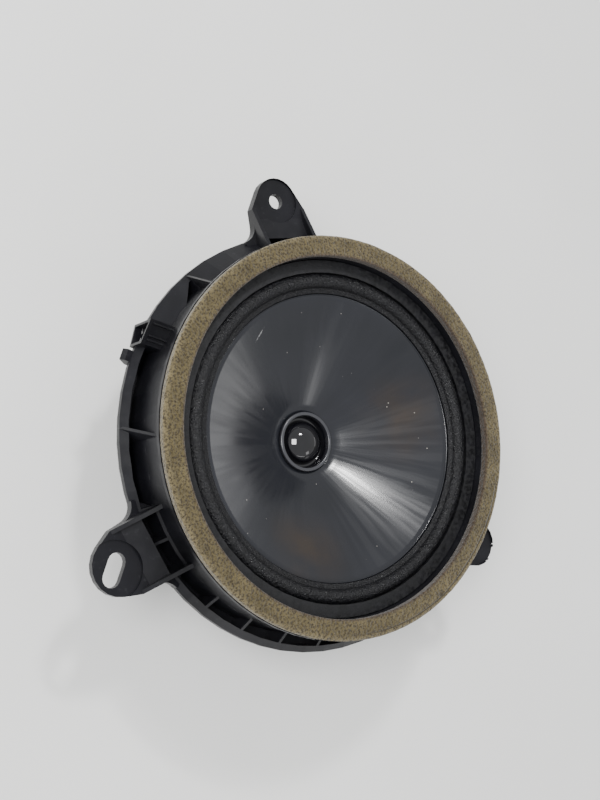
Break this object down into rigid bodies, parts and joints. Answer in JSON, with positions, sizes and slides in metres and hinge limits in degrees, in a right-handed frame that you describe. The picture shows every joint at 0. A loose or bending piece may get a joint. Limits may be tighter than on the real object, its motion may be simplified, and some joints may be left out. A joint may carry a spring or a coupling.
{
  "type": "car door speaker",
  "caption": "Round woofer with a moulded frame, slotted mounting ears, foam front gasket, half-roll surround, deep cone and domed dust cap that move along the axis.",
  "frame": {"origin": "centre of the flat rear face of the magnet assembly, on the speaker axis", "axes": "+Z along the speaker axis out of the front, +Y towards the upper mounting ear, +X to its right seen from the front"},
  "size_m": [0.1982, 0.2034, 0.078],
  "materials": {
    "frame": "black glass-filled moulding, semi-gloss",
    "foam": "open-cell olive tan foam",
    "clamp": "black pressed board",
    "surround": "rough black",
    "cone": "smooth dark polypropylene, semi-gloss",
    "cap": "polished black",
    "former": "brown kraft paper",
    "copper": "enamelled copper",
    "spider": "resin-dipped cotton",
    "steel": "zinc plated",
    "ferrite": "dark grey ferrite",
    "tin": "tin plated",
    "braid": "braided tinsel"
  },
  "bodies": {
    "chassis": {"yoke": "steel", "magnet": "ferrite", "top_plate": "steel", "frame": "frame", "rivet_1": "tin", "rivet_2": "tin", "rivet_3": "tin", "rivet_4": "tin", "spider": "spider", "surround": "surround", "clamp_ring": "clamp", "front_gasket": "foam", "terminal_positive": "tin", "terminal_negative": "tin", "lead_positive": "braid", "lead_negative": "braid"},
    "diaphragm": {"cone": "cone", "dust_cap": "cap", "coil_former": "former", "coil_winding": "copper", "coil_tag_positive": "copper", "coil_tag_negative": "copper"}
  },
  "joints": [
    {"name": "cone_travel", "type": "slide", "parent": "chassis", "child": "diaphragm", "axis": [0, 0, 1], "range_m": [-0.004, 0.004], "stiffness_N_per_m": 2000, "deforming": ["surround", "spider", "lead_positive", "lead_negative"]}
  ]
}
